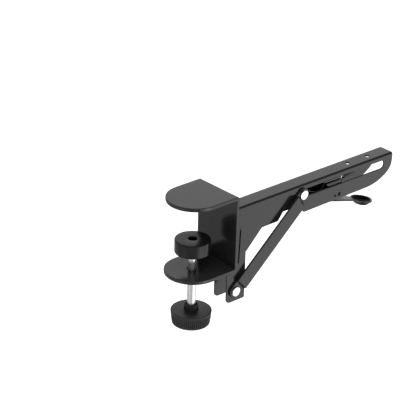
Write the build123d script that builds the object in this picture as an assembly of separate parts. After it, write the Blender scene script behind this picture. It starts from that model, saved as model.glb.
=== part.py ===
from build123d import *
import os
from math import acos, atan2, cos, degrees, hypot, pi, sin, tan

os.makedirs("parts", exist_ok=True)

# Clamp-on folding shelf bracket, shown open.  Millimetres, +Z up.
# X = 0 is the inner face of the clamp's upright plate: the desk board lies at X < 0 and
# the arm reaches out along +X.  Z = 0 is 0.5 above the underside of the top jaw.
# Y = 0 is the centre plane; "near" is the -Y side and "far" the +Y side.

# ---- shared dimensions -----------------------------------------------------
running_gap = 0.05       # clearance between moving parts, radial and sideways
screw_gap = 0.06         # radial clearance round the clamp screw
reach = 20.0             # cutters along Y run to +-reach, beyond every part

# clamp frame
plate_t = 3.0            # thickness of the upright plate
jaw_t = 3.7
jaw_w = 52.0
top_jaw_under = -0.5     # underside of the top jaw
low_jaw_top = -68.8      # top face of the bottom jaw
top_jaw_top = top_jaw_under + jaw_t
low_jaw_under = low_jaw_top - jaw_t

# clamp screw
screw_x = -28.8
screw_r = 4.0
screw_bottom = -120.0
screw_tip_r = 2.5        # thin end above the shoulder
pad_top = -38.6
shoulder_z = pad_top - 9.4

# channel widths, as half-widths from the centre plane
leg_in = 8.95
leg_wall_t = 1.4
leg_out = leg_in + leg_wall_t
arm_out = 8.8
arm_t = 1.5
arm_in = arm_out - arm_t

# hinge between leg and arm
hinge_x, hinge_z = 11.5, -60.0
hinge_r = 4.0

# slot along the arm, between its end centres
slot_x0, slot_x1 = 99.5, 205.6
slot_z = -28.8

# strut pivots: the lower on the leg, the upper at the root end of the arm's slot
low_pivot_x, low_pivot_z = 14.9, -102.0
up_pivot_x, up_pivot_z = slot_x0, slot_z
strut_t = 2.0
strut_low_y = -(leg_out + running_gap + strut_t)   # outer face of the lower lug
strut_up_y = -(arm_out + running_gap + strut_t)    # outer face of the upper lug
rivet_r = 3.0
head_r = 4.8             # domed heads of the rivets and the hinge pin
head_h = 2.0
far_head_h = 1.6         # the hinge pin's far head is lower
slide_r = 4.0

# release lever pins
lever_x, lever_z = 149.2, -43.2
lever_pin_r = 2.0
spring_pin_x, spring_pin_z = 143.8, -43.6
spring_pin_r = 1.2
pin_recess = 0.8         # pin ends below the arm's outer faces


# ---- helpers ---------------------------------------------------------------
def polygon(points):
    """Closed straight-sided face through 3D points."""
    return Face(Wire([Line(a, b) for a, b in zip(points, points[1:] + points[:1])]))


def rounded_corner(before, corner, after):
    """Start, end and middle of the arc at a corner; the middle is None if it is sharp."""
    x, z, radius = corner
    if radius <= 0:
        return (x, z), (x, z), None
    before_len = hypot(before[0] - x, before[1] - z)
    after_len = hypot(after[0] - x, after[1] - z)
    back = ((before[0] - x) / before_len, (before[1] - z) / before_len)
    ahead = ((after[0] - x) / after_len, (after[1] - z) / after_len)
    half_turn = 0.5 * (pi - acos(back[0] * ahead[0] + back[1] * ahead[1]))
    trim = radius * tan(half_turn)
    start = (x + back[0] * trim, z + back[1] * trim)
    end = (x + ahead[0] * trim, z + ahead[1] * trim)
    # the arc's middle lies on the corner's bisector
    bisector = (back[0] + ahead[0], back[1] + ahead[1])
    offset = (radius / cos(half_turn) - radius) / hypot(*bisector)
    return start, end, (x + bisector[0] * offset, z + bisector[1] * offset)


def slab(corners, y0, y1):
    """Plate from y0 to y1 whose outline is a table of (x, z, corner radius)."""
    count = len(corners)
    arcs = [rounded_corner(corners[i - 1], corners[i], corners[(i + 1) % count])
            for i in range(count)]
    edges = []
    for i, (start, end, middle) in enumerate(arcs):
        if middle is not None:
            edges.append(ThreePointArc(*[(x, y0, z) for x, z in (start, middle, end)]))
        following = arcs[(i + 1) % count][0]
        if hypot(following[0] - end[0], following[1] - end[1]) > 1e-6:
            edges.append(Line((end[0], y0, end[1]), (following[0], y0, following[1])))
    return extrude(Face(Wire(edges)), amount=y1 - y0, dir=(0, 1, 0))


def y_cyl(x, z, radius, y0, y1):
    return Pos(x, (y0 + y1) / 2, z) * Rot(90, 0, 0) * Cylinder(radius, y1 - y0)


def y_through(x, z, radius):
    """Cylinder along Y that passes through the whole bracket."""
    return y_cyl(x, z, radius, -reach, reach)


def z_cyl(x, radius, z0, z1):
    return Pos(x, 0, (z0 + z1) / 2) * Cylinder(radius, z1 - z0)


def block(x0, x1, y0, y1, z0, z1):
    return Pos((x0 + x1) / 2, (y0 + y1) / 2, (z0 + z1) / 2) * Box(x1 - x0, y1 - y0, z1 - z0)


def dome(x, z, radius, height, y, side):
    """Domed head standing on the plane Y = y, pointing to side (-1 near, +1 far)."""
    ball_r = (radius * radius + height * height) / (2 * height)
    ball = Pos(x, y + side * (height - ball_r), z) * Sphere(ball_r)
    top = y + side * (height + 1)
    return ball & y_cyl(x, z, radius + 1, min(y, top), max(y, top))


def obround(x0, x1, z, radius, y0, y1):
    middle = block(x0, x1, y0, y1, z - radius, z + radius)
    return middle + y_cyl(x0, z, radius, y0, y1) + y_cyl(x1, z, radius, y0, y1)


def save(shape, name):
    export_step(shape, "parts/" + name + ".step")


# ---- clamp frame: upright plate and two round-ended jaws -------------------
top_jaw_len = 54.0       # reach from the desk edge
low_jaw_len = 54.6
bend_r = 1.6             # outer radius of both bends
screw_hole_r = 4.6


def jaw(length, z0, z1):
    straight = length - jaw_w / 2
    plate = block(-straight, plate_t, -jaw_w / 2, jaw_w / 2, z0, z1)
    return plate + z_cyl(-straight, jaw_w / 2, z0, z1)


frame = jaw(top_jaw_len, top_jaw_under, top_jaw_top)
frame += block(0, plate_t, -jaw_w / 2, jaw_w / 2, low_jaw_under, top_jaw_top)
frame += jaw(low_jaw_len, low_jaw_under, low_jaw_top)
bends = [e for e in frame.edges()
         if abs(e.center().X - plate_t) < 1e-3 and e.length > jaw_w - 1
         and min(abs(e.center().Z - top_jaw_top), abs(e.center().Z - low_jaw_under)) < 1e-3]
frame = fillet(bends, bend_r)
frame -= z_cyl(screw_x, screw_hole_r, low_jaw_under - 1, low_jaw_top + 1)
save(frame, "clamp_frame")

# ---- hexagon nut under the bottom jaw --------------------------------------
nut_flats = 13.0         # width across flats
nut_h = 4.5

hexagon = RegularPolygon(nut_flats / 2, 6, major_radius=False)
nut = Pos(screw_x, 0, low_jaw_under - nut_h) * extrude(hexagon, amount=nut_h)
nut -= z_cyl(screw_x, screw_r + screw_gap, low_jaw_under - nut_h - 1, low_jaw_under + 1)
save(nut, "jaw_nut")

# ---- clamp screw -----------------------------------------------------------
screw = z_cyl(screw_x, screw_r, screw_bottom, shoulder_z)
screw = chamfer(screw.edges().sort_by(Axis.Z)[0], 0.8)
screw += z_cyl(screw_x, screw_tip_r, shoulder_z, pad_top - 2.6)
save(screw, "clamp_screw")

# ---- pressure pad, with a recess in its top for the retainer ---------------
pad_r = 16.6
pad_bottom = pad_top - 13.2
pad_round = 0.9
recess_r = 4.3
recess_floor = pad_top - 4.9

pad = z_cyl(screw_x, pad_r, pad_bottom, pad_top)
pad = fillet(pad.edges().filter_by(GeomType.CIRCLE), pad_round)
pad -= z_cyl(screw_x, screw_r + screw_gap, pad_bottom - 1, shoulder_z)
pad -= z_cyl(screw_x, screw_tip_r + screw_gap, shoulder_z - 1, recess_floor)
pad -= z_cyl(screw_x, recess_r, recess_floor, pad_top + 1)
save(pad, "pressure_pad")

# ---- retaining ring on the screw tip ---------------------------------------
ring_r = 3.95
ring_t = 1.1
ring_bottom = recess_floor + running_gap

ring = z_cyl(screw_x, ring_r, ring_bottom, ring_bottom + ring_t)
ring -= z_cyl(screw_x, screw_tip_r, ring_bottom - 1, pad_top)
save(ring, "pad_retainer")

# ---- knob: tapered disc, ring-shaped recess below, hub with a cup on top ---
knob_r = 19.1            # at the top; the bottom is smaller by knob_taper
knob_taper = 1.5
knob_top = -110.6
knob_h = 13.8
knob_bottom = knob_top - knob_h
knob_round = 1.0
knob_recess_out_r = 14.5
knob_recess_in_r = 7.5
knob_recess_h = 5.5
hub_r = 6.7
hub_top = -105.0
hub_cup_r = 5.5
hub_cup_h = 3.0
insert_r = 5.0
insert_top = -109.0

knob = Pos(screw_x, 0, knob_bottom) * Cone(
    knob_r - knob_taper, knob_r, knob_h, align=(Align.CENTER, Align.CENTER, Align.MIN))
knob = fillet(knob.edges().filter_by(GeomType.CIRCLE), knob_round)
knob += z_cyl(screw_x, hub_r, knob_top - 1, hub_top)
knob_recess = z_cyl(screw_x, knob_recess_out_r, knob_bottom - 1, knob_bottom + knob_recess_h)
knob_recess -= z_cyl(screw_x, knob_recess_in_r, knob_bottom - 2,
                     knob_bottom + knob_recess_h + 0.5)
knob -= knob_recess
knob -= z_cyl(screw_x, insert_r, screw_bottom, insert_top)
knob -= z_cyl(screw_x, screw_r, insert_top - 0.5, hub_top + 1)
knob -= z_cyl(screw_x, hub_cup_r, hub_top - hub_cup_h, hub_top + 1)
save(knob, "knob")

insert = z_cyl(screw_x, insert_r, screw_bottom, insert_top)
insert -= z_cyl(screw_x, screw_r, screw_bottom - 1, insert_top + 1)
save(insert, "knob_insert")

# ---- leg: upright channel on the plate's outer face, open towards +X -------
leg_front = 27.9
leg_top = -36.0
leg_web_t = 1.6
step_z = low_jaw_under - 1.5     # below here the walls step away from the plate
# groove in the near wall's outer face: x, z, corner radius
groove = [(19.4, -41.0, 0.75), (21.1, -41.0, 0.75), (19.7, -75.0, 0.75), (18.0, -75.0, 0.75)]
groove_floor_t = 0.4


def leg_wall(foot_back, bottom, y0, y1):
    return slab([           # x, z, corner radius
        (plate_t, leg_top, 0), (17.0, leg_top, 3.5), (leg_front, -49.0, 2.0),
        (leg_front, bottom, 1.6), (foot_back, bottom, 4.6), (foot_back, step_z, 1.0),
        (plate_t, step_z, 0),
    ], y0, y1)


# the far foot is narrower and a little longer
leg = leg_wall(5.2, -113.2, -leg_out, -leg_in) + leg_wall(8.2, -114.8, leg_in, leg_out)
leg += block(plate_t, plate_t + leg_web_t, -leg_out, leg_out, low_jaw_under, leg_top)
leg -= slab(groove, -reach, -leg_in - groove_floor_t)
leg -= y_through(hinge_x, hinge_z, hinge_r)
leg -= y_cyl(low_pivot_x, low_pivot_z, rivet_r, -reach, 0)
save(leg, "leg_channel")

# ---- arm: channel open downwards -------------------------------------------
arm_top = -19.3
arm_root = 5.0
arm_end = 221.0
arm_bottom = -47.5
arm_bottom_far = -44.2   # the far wall is a little shallower
arm_round = 2.2          # along the outer top edges
arm_inner_round = 0.5
ear_r = 6.5              # rounded ear round the hinge
slot_r = 4.1
slot_r_far = 4.5
top_hole_r = 2.3         # two holes in the top
top_hole_mid_x = 181.2
top_hole_pitch = 27.0
# curved end of each wall, from the tip down and back: x, z
near_nose = [(arm_end, -26.0), (218.4, -34.9), (211.3, -40.9), (200.0, -45.6),
             (186.0, arm_bottom)]
far_nose = [(arm_end, -21.8), (217.6, -25.0), (209.6, -35.9), (205.6, -39.1),
            (198.3, -43.1), (188.0, arm_bottom_far)]


def arm_half(y0, y1, nose, bottom):
    """Solid half of the arm's side profile, between y0 and y1."""
    ear_bottom = hinge_z - ear_r
    diagonal = ear_r * cos(pi / 4)
    # lower edge from the nose back to the ear: x, z
    lower = [nose[-1], (102.4, bottom - 1.1), (100.0, -39.8), (75.2, -39.9), (69.1, -47.8),
             (48.9, -48.1), (30.2, ear_bottom), (hinge_x, ear_bottom)]
    edges = [
        Line((arm_root, y0, arm_top), (arm_end, y0, arm_top)),
        Line((arm_end, y0, arm_top), (arm_end, y0, nose[0][1])),
        Spline(*[(x, y0, z) for x, z in nose], tangents=[(0, 0, -1), (-1, 0, 0)]),
    ]
    for a, b in zip(lower[:-1], lower[1:]):
        edges.append(Line((a[0], y0, a[1]), (b[0], y0, b[1])))
    edges.append(ThreePointArc((hinge_x, y0, ear_bottom),
                               (hinge_x - diagonal, y0, hinge_z - diagonal),
                               (hinge_x - ear_r, y0, hinge_z)))
    edges.append(Line((hinge_x - ear_r, y0, hinge_z), (arm_root, y0, arm_top)))
    return extrude(Face(Wire(edges)), amount=y1 - y0, dir=(0, 1, 0))


def edges_at(shape, z, min_length):
    return [e for e in shape.edges()
            if abs(e.center().Z - z) < 1e-3 and e.length > min_length]


outer = arm_half(-arm_out, 0.0, near_nose, arm_bottom)
outer += arm_half(0.0, arm_out, far_nose, arm_bottom_far)
outer = fillet(edges_at(outer, arm_top, 150), arm_round)
core = block(-20, 300, -arm_in, arm_in, -200, arm_top - arm_t)
core = fillet(edges_at(core, arm_top - arm_t, 300), arm_inner_round)
arm = outer - core
arm -= obround(slot_x0, slot_x1, slot_z, slot_r, -arm_out - 1, 0)
arm -= obround(slot_x0, slot_x1, slot_z, slot_r_far, 0, arm_out + 1)
arm -= y_through(hinge_x, hinge_z, hinge_r + running_gap)
arm -= y_through(lever_x, lever_z, lever_pin_r)
arm -= y_cyl(spring_pin_x, spring_pin_z, spring_pin_r, -reach, 0)
for side in (-1, 1):
    arm -= z_cyl(top_hole_mid_x + side * top_hole_pitch / 2, top_hole_r,
                 arm_top - 5, arm_top + 1)
save(arm, "arm_channel")

# ---- hinge pin and its bush ------------------------------------------------
bush_r = 5.6
bush_half = arm_in - running_gap

hinge_pin = y_cyl(hinge_x, hinge_z, hinge_r, -leg_out, leg_out)
hinge_pin += (dome(hinge_x, hinge_z, head_r, head_h, -leg_out, -1)
              + dome(hinge_x, hinge_z, head_r, far_head_h, leg_out, 1))
save(hinge_pin, "hinge_pin")

bush = y_cyl(hinge_x, hinge_z, bush_r, -bush_half, bush_half)
bush -= y_through(hinge_x, hinge_z, hinge_r + running_gap)
save(bush, "hinge_bush")

# ---- strut: cranked flat bar on the near side ------------------------------
# Built along +X from the lower pivot at the origin, then turned into place.
strut_half_w = 7.5
strut_body_y = -14.2     # outer face between the cranks
low_lug_r = 6.6
up_lug_r = 6.2
strut_len = hypot(up_pivot_x - low_pivot_x, up_pivot_z - low_pivot_z)
strut_angle = degrees(atan2(up_pivot_z - low_pivot_z, up_pivot_x - low_pivot_x))
# outer face: distance along the strut, y
outer_line = [(-9, strut_low_y), (7.0, strut_low_y), (8.6, strut_body_y),
              (strut_len - 8.3, strut_body_y), (strut_len - 5.4, strut_up_y),
              (strut_len + 9, strut_up_y)]
inner_line = [(x, y + strut_t) for x, y in outer_line]

section = polygon([(x, y, 0) for x, y in outer_line + inner_line[::-1]])
bar = Pos(0, 0, -10) * extrude(section, amount=20, dir=(0, 0, 1))
plan = block(7.6, strut_len - 6.6, -reach, reach, -strut_half_w, strut_half_w)
plan += (y_through(0, 0, low_lug_r)
         + block(0, 8.6, -reach, reach, -low_lug_r, low_lug_r))
plan += (y_through(strut_len, 0, up_lug_r)
         + block(strut_len - 8, strut_len, -reach, reach, -up_lug_r, up_lug_r))
strut = bar & plan
strut -= y_through(0, 0, rivet_r + running_gap)
strut -= y_through(strut_len, 0, rivet_r)
save(Pos(low_pivot_x, 0, low_pivot_z) * Rot(0, -strut_angle, 0) * strut, "strut")

# ---- lower rivet and the washer inside the leg's near wall -----------------
washer_t = 1.0
low_washer_r = 6.0
inner_head_r = 4.2
inner_head_h = 1.2
washer_face = -leg_in + washer_t

low_rivet = y_cyl(low_pivot_x, low_pivot_z, rivet_r, strut_low_y, washer_face + 0.05)
low_rivet += dome(low_pivot_x, low_pivot_z, head_r, head_h, strut_low_y, -1)
low_rivet += dome(low_pivot_x, low_pivot_z, inner_head_r, inner_head_h, washer_face, 1)
save(low_rivet, "lower_rivet")

low_washer = y_cyl(low_pivot_x, low_pivot_z, low_washer_r, -leg_in, washer_face)
low_washer -= y_through(low_pivot_x, low_pivot_z, rivet_r)
save(low_washer, "lower_washer")

# ---- upper rivet, in the strut's upper lug ---------------------------------
up_rivet = y_cyl(up_pivot_x, up_pivot_z, rivet_r, strut_up_y, strut_up_y + strut_t)
up_rivet += dome(up_pivot_x, up_pivot_z, head_r, head_h, strut_up_y, -1)
save(up_rivet, "upper_rivet")

# ---- slide pin across both slots, with washer and clip on the far side -----
waist_r = 2.4            # thin middle, where the lever's nose sits
waist_half = 2.9
clip_groove_r = 3.0
clip_t = 0.8
clip_r = 5.6
clip_mouth_half = 2.2
slide_washer_r = 7.0
washer_y0 = arm_out + running_gap
washer_y1 = washer_y0 + washer_t
clip_y0 = washer_y1 + running_gap
clip_y1 = clip_y0 + clip_t


def slide_cyl(radius, y0, y1):
    return y_cyl(up_pivot_x, up_pivot_z, radius, y0, y1)


slide_pin = (slide_cyl(slide_r, -arm_out, -waist_half)
             + slide_cyl(waist_r, -waist_half, waist_half))
slide_pin += slide_cyl(slide_r, waist_half, clip_y0)
slide_pin += (slide_cyl(clip_groove_r, clip_y0, clip_y1)
              + slide_cyl(slide_r - 0.3, clip_y1, clip_y1 + 0.8))
save(slide_pin, "slide_pin")

save(slide_cyl(slide_washer_r, washer_y0, washer_y1) - slide_cyl(slide_r, 0, reach),
     "slide_washer")

clip = slide_cyl(clip_r, clip_y0, clip_y1) - slide_cyl(clip_groove_r, 0, reach)
clip -= block(up_pivot_x - clip_mouth_half, up_pivot_x + clip_mouth_half, 0, reach,
              up_pivot_z - 9, up_pivot_z)
save(clip, "slide_clip")

# ---- release lever: blade, sloping strip, neck and dished finger pad -------
blade_t = 2.5
strip_w = 13.4
strip_t = 1.6
strip_x0, strip_z0 = 118.0, -43.1    # underside, upper end
strip_x1, strip_z1 = 173.0, -58.85   # underside, lower end
strip_shift = 0.45                   # X offset of the top face from the underside
neck_tilt = 7.5                      # extra tilt below the strip's slope
strip_slope = atan2(strip_z0 - strip_z1, strip_x1 - strip_x0)
dish_place = Pos(190.0, 0, -64.1) * Rot(0, 10.0, 0)
dish_r = 11.0
dish_floor_r = 6.4
dish_floor_z = -2.9


def strip_mid(x):
    """Height halfway through the strip at x."""
    slope = (strip_z1 - strip_z0) / (strip_x1 - strip_x0)
    return strip_z0 + slope * (x - strip_x0) + strip_t / 2


# nose towards the slide pin, lobe above the pivot, foot on the strip: x, z, corner radius
blade = [
    (104.1, -31.4, 0.8), (109.5, -31.4, 2.0), (132.5, -39.2, 2.0), (138.0, -34.2, 2.0),
    (171.5, -34.0, 0.7), (160.5, -37.8, 5.0), (153.5, -46.0, 4.0),
    (152.0, strip_mid(152.0), 0), (120.0, strip_mid(120.0), 0),
    (112.0, -41.5, 3.0), (104.1, -37.6, 1.2),
]
strip = [
    (strip_x0, strip_z0, 0), (strip_x1, strip_z1, 0),
    (strip_x1 + strip_shift, strip_z1 + strip_t, 0),
    (strip_x0 + strip_shift, strip_z0 + strip_t, 0),
]
# half section of the round bowl with its turned-out rim: radius, z
bowl_section = [
    (0, -4.4), (7.1, -4.4), (9.9, -1.0), (dish_r, -0.7), (dish_r, 0.7), (9.2, 0.5),
    (dish_floor_r, dish_floor_z), (0, dish_floor_z),
]
# neck widening from the strip to the bowl: distance past the strip's end, y
neck_plan = [(-1.5, -strip_w / 2), (0.0, -strip_w / 2), (12.0, -8.2),
             (12.0, 8.2), (0.0, strip_w / 2), (-1.5, strip_w / 2)]

lever = slab(blade, -blade_t / 2, blade_t / 2)
lever += slab(strip, -strip_w / 2, strip_w / 2)
bowl = dish_place * revolve(polygon([(x, 0, z) for x, z in bowl_section]), axis=Axis.Z)
neck = extrude(polygon([(x, y, 0) for x, y in neck_plan]), amount=strip_t, dir=(0, 0, 1))
neck = Pos(strip_x1, 0, strip_z1) * Rot(0, degrees(strip_slope) + neck_tilt, 0) * neck
# keeps the neck out of the bowl's hollow
hollow = dish_place * (Pos(0, 0, dish_floor_z) * Cone(
    dish_floor_r, 10.52, 5.0, align=(Align.CENTER, Align.CENTER, Align.MIN)))
lever += neck - hollow
lever += bowl
lever -= y_cyl(lever_x, lever_z, lever_pin_r + running_gap, -5, 5)
save(lever, "release_lever")

# ---- lever pin and spring pin ----------------------------------------------
pin_end = arm_out - pin_recess
save(y_cyl(lever_x, lever_z, lever_pin_r, -pin_end, pin_end), "lever_pin")
save(y_cyl(spring_pin_x, spring_pin_z, spring_pin_r, -pin_end, -1.75), "spring_pin")

# ---- return spring round the lever pin, on the blade's near side -----------
wire_r = 0.4
coil_r = 2.75
coil_turns = 4
coil_pitch = 0.95
low_leg = 5.0            # points down
up_leg = 10.6            # points up, leaning towards +X
spring_lean = 25
spring_y = -1.8 - wire_r

helix = Helix(pitch=coil_pitch, height=coil_turns * coil_pitch, radius=coil_r)
leg_start = helix @ 0 - (helix % 0) * low_leg
path = Wire([
    Line(leg_start, helix @ 0),
    helix,
    Line(helix @ 1, helix @ 1 + (helix % 1) * up_leg),
])
coil = sweep(Plane(origin=leg_start, z_dir=helix % 0) * Circle(wire_r), path=path)
# the coil's own Z turns to -Y and its Y to +Z
spring = Pos(lever_x, spring_y, lever_z) * Rot(90, 0, 0) * Rot(0, 0, -spring_lean) * coil
save(spring, "lever_spring")
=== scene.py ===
"""Clamp with a swinging arm, built over its CAD pieces.

The C-shaped clamp frame opens towards -X. Its spine stands at X = 0 with the upper jaw near Z = 0,
and the clamp screw runs along Z through the lower jaw. The channel-shaped arm is hinged to the leg
behind the spine and reaches out along +X, held up by a slanting strut. Y runs across the product;
the camera looks from -X, -Y, so the near side is -Y and the far side is +Y.
Sizes are in mm and turn into metres when a mesh is made.
"""
import bpy
import math
import numpy as np
from mathutils import Matrix, Vector
from mathutils.geometry import delaunay_2d_cdt


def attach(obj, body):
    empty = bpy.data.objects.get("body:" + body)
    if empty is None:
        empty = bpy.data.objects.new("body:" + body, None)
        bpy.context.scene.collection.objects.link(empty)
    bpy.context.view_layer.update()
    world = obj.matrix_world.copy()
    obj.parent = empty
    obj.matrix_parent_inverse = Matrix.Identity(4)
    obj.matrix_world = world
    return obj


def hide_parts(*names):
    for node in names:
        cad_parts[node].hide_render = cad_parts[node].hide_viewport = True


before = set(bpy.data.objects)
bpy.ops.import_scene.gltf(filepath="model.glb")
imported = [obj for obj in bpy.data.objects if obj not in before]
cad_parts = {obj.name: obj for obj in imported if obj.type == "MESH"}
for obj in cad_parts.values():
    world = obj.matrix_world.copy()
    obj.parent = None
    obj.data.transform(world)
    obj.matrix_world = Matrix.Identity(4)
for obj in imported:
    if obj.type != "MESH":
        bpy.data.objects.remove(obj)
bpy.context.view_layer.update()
MM = 0.001

# Axes shared by several pieces; the pairs are (x, z) of axes along Y
SCREW_X = -28.8
HINGE = (11.5, -60.0)
LOWER_RIVET = (14.9, -102.0)
UPPER_RIVET = (99.5, -28.8)
LEVER_PIN = (149.2, -43.2)


# ============================================================ 2-D helpers
def arc(centre_x, centre_y, radius, start, sweep, count):
    """count + 1 points along an arc; angles in radians."""
    out = []
    for i in range(count + 1):
        angle = start + sweep * i / count
        out.append((centre_x + radius * math.cos(angle), centre_y + radius * math.sin(angle)))
    return out


def circle(centre_x, centre_y, radius, count):
    return arc(centre_x, centre_y, radius, 0.0, 2 * math.pi, count)[:-1]


def obround(x0, x1, y, radius, count):
    """Slot outline between two end centres, count segments to each round end."""
    return (arc(x0, y, radius, math.pi / 2, math.pi, count)
            + arc(x1, y, radius, -math.pi / 2, math.pi, count))


def spaced(start, length, count):
    return [start + length * k / count for k in range(count + 1)]


def unit(x, y):
    length = math.hypot(x, y)
    return (x / length, y / length)


def rounded(corners, step=10.0):
    """Closed outline from (x, y, corner radius) points; a radius left out is 0.

    step is the most degrees one segment of a corner turns."""
    out = []
    for i, corner in enumerate(corners):
        x, y, radius = (list(corner) + [0.0])[:3]
        if radius <= 1e-6:
            out.append((x, y))
            continue
        before, after = corners[i - 1], corners[(i + 1) % len(corners)]
        to_prev = unit(before[0] - x, before[1] - y)
        to_next = unit(after[0] - x, after[1] - y)
        cosine = max(-1.0, min(1.0, to_prev[0] * to_next[0] + to_prev[1] * to_next[1]))
        half = 0.5 * (math.pi - math.acos(cosine))
        if half < 1e-3:                      # the corner is straight
            out.append((x, y))
            continue
        tangent = radius * math.tan(half)
        bisector = unit(to_prev[0] + to_next[0], to_prev[1] + to_next[1])
        reach = radius / math.cos(half)
        mid_x, mid_y = x + bisector[0] * reach, y + bisector[1] * reach
        start = math.atan2(y + to_prev[1] * tangent - mid_y, x + to_prev[0] * tangent - mid_x)
        end = math.atan2(y + to_next[1] * tangent - mid_y, x + to_next[0] * tangent - mid_x)
        sweep = (end - start + math.pi) % (2 * math.pi) - math.pi
        count = max(2, int(math.ceil(abs(math.degrees(sweep)) / step)))
        out += arc(mid_x, mid_y, radius, start, sweep, count)
    return out


def area(loop):
    """Signed area, positive when the loop runs anticlockwise."""
    return 0.5 * sum(loop[i - 1][0] * loop[i][1] - loop[i][0] * loop[i - 1][1]
                     for i in range(len(loop)))


def clean(loop, tol=1e-5):
    """Closed outline without its repeated points."""
    out = []
    for point in loop:
        if not out or math.hypot(point[0] - out[-1][0], point[1] - out[-1][1]) > tol:
            out.append(point)
    if math.hypot(out[0][0] - out[-1][0], out[0][1] - out[-1][1]) <= tol:
        out.pop()
    return out


def cut_at(loop, values, axis):
    """Adds a vertex wherever the closed outline crosses one of the values on that axis."""
    out = []
    for i, start in enumerate(loop):
        end = loop[(i + 1) % len(loop)]
        out.append(start)
        low, high = min(start[axis], end[axis]), max(start[axis], end[axis])
        crossed = [value for value in values if low + 1e-6 < value < high - 1e-6]
        crossed.sort(reverse=start[axis] > end[axis])
        for value in crossed:
            share = (value - start[axis]) / (end[axis] - start[axis])
            point = [start[0] + (end[0] - start[0]) * share,
                     start[1] + (end[1] - start[1]) * share]
            point[axis] = value
            out.append(tuple(point))
    return out


def inset_dirs(loop):
    """Directions for an offset of 1 into the material, which lies left of the outline."""
    points = np.array(loop, float)
    along = np.roll(points, -1, 0) - points
    along /= np.linalg.norm(along, axis=1)[:, None]
    left = np.stack([-along[:, 1], along[:, 0]], 1)
    left_before = np.roll(left, 1, 0)
    dot = (left_before * left).sum(1)
    return (left_before + left) / np.maximum(1 + dot, 0.25)[:, None]


def inside(loop, points):
    """Mask of the points that lie inside the closed outline."""
    corners = np.array(loop, float)
    x, y = points[:, 0], points[:, 1]
    result = np.zeros(len(points), bool)
    start = corners[-1]
    for end in corners:
        spans = (start[1] > y) != (end[1] > y)
        # level edges overflow here, but spans leaves them out
        with np.errstate(divide="ignore", invalid="ignore"):
            crossing = ((end[0] - start[0]) * (y - start[1]) / (end[1] - start[1] + 1e-300)
                        + start[0])
        result ^= spans & (x < crossing)
        start = end
    return result


def in_material(loops, points):
    """Mask of the points inside the first outline and outside the others."""
    result = inside(loops[0], points)
    for hole in loops[1:]:
        result &= ~inside(hole, points)
    return result


def smooth_curve(points, tangent0, tangent1, count=8):
    """C2 cubic through the points with the given end tangents, count steps per span."""
    knots = np.array(points, float)
    span = np.linalg.norm(np.diff(knots, axis=0), axis=1)
    total = len(knots)
    matrix = np.zeros((total, total))
    rhs = np.zeros((total, 2))
    matrix[0, 0] = matrix[-1, -1] = 1
    rhs[0], rhs[-1] = tangent0, tangent1
    for i in range(1, total - 1):
        matrix[i, i - 1] = span[i]
        matrix[i, i] = 2 * (span[i - 1] + span[i])
        matrix[i, i + 1] = span[i - 1]
        rhs[i] = 3 * (span[i] * (knots[i] - knots[i - 1]) / span[i - 1]
                      + span[i - 1] * (knots[i + 1] - knots[i]) / span[i])
    slope = np.linalg.solve(matrix, rhs)
    out = []
    for i in range(total - 1):
        for j in range(count):
            f = j / count
            out.append(tuple((2 * f ** 3 - 3 * f ** 2 + 1) * knots[i]
                             + (f ** 3 - 2 * f ** 2 + f) * span[i] * slope[i]
                             + (-2 * f ** 3 + 3 * f ** 2) * knots[i + 1]
                             + (f ** 3 - f ** 2) * span[i] * slope[i + 1]))
    out.append(tuple(knots[-1]))
    return out


def ease(share):
    """Smooth step from 0 to 1."""
    share = max(0.0, min(1.0, share))
    return share * share * (3 - 2 * share)


# ============================================================ mesh builders
def make_object(name, verts, faces, body, mat, normals=None, sharp=None):
    """Smooth-shaded object from vertices in metres; sharp is the angle of a hard edge, degrees."""
    mesh = bpy.data.meshes.new(name)
    mesh.from_pydata([tuple(vert) for vert in verts], [], faces)
    mesh.validate()
    mesh.shade_smooth()
    if sharp is not None:
        mesh.set_sharp_from_angle(angle=math.radians(sharp))
    mesh.update()
    if normals is not None:
        mesh.normals_split_custom_set_from_vertices([tuple(normal) for normal in normals])
    obj = bpy.data.objects.new(name, mesh)
    bpy.context.scene.collection.objects.link(obj)
    mesh.materials.append(mat)
    if body is not None:
        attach(obj, body)
    return obj


RIM_STEPS = 3                                # segments of a sheet's rounded edge


def rim_rings(thick, edge):
    """Rings round a sheet's rim: (inset, depth, normal's share in depth, share outwards)."""
    quarter = []
    for j in range(RIM_STEPS + 1):
        angle = math.pi / 2 * j / RIM_STEPS
        sine, cosine = math.sin(angle), math.cos(angle)
        quarter.append((edge * (1 - sine), edge * (1 - cosine), cosine, sine))
    rings = [(inset, depth, -cosine, sine) for inset, depth, cosine, sine in quarter]
    rings += [(inset, thick - depth, cosine, sine)
              for inset, depth, cosine, sine in quarter[::-1]]
    return rings


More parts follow.
